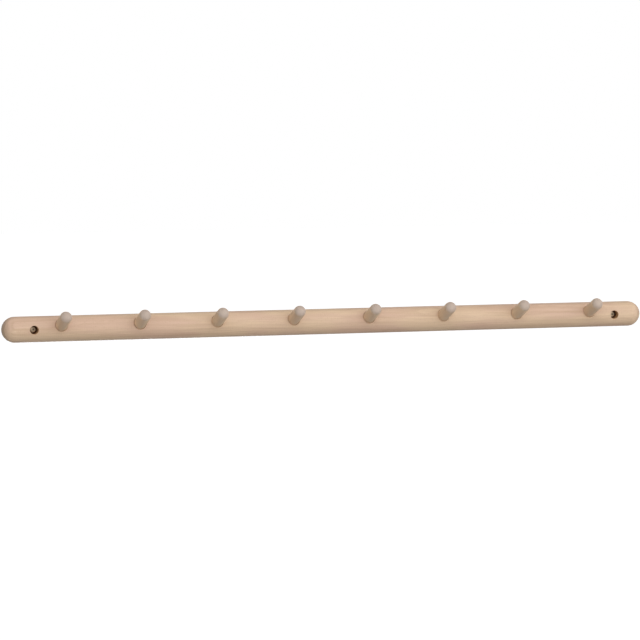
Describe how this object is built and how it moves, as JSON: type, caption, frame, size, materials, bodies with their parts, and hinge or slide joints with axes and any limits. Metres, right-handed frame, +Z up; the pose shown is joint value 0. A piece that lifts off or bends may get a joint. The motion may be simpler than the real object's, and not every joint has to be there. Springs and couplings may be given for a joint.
{
  "type": "coat rack",
  "caption": "Wall-hung wooden peg rail with a crowned face and round ends; a row of upward-leaning dowel pegs holds coats, and recessed screws near the ends hold it to the wall.",
  "frame": {"origin": "centre of the rail's flat back face, in the plane of the wall", "axes": "+X along the rail to the right as seen from the front, +Y into the wall, +Z up"},
  "size_m": [0.9998, 0.0897, 0.0481],
  "materials": {
    "rail_wood": "satin",
    "peg_wood": "satin",
    "screw_steel": "satin"
  },
  "bodies": {
    "root": {"rail": "rail_wood", "peg_1": "peg_wood", "peg_2": "peg_wood", "peg_3": "peg_wood", "peg_4": "peg_wood", "peg_5": "peg_wood", "peg_6": "peg_wood", "peg_7": "peg_wood", "peg_8": "peg_wood", "screw_left": "screw_steel", "screw_right": "screw_steel"}
  },
  "joints": []
}
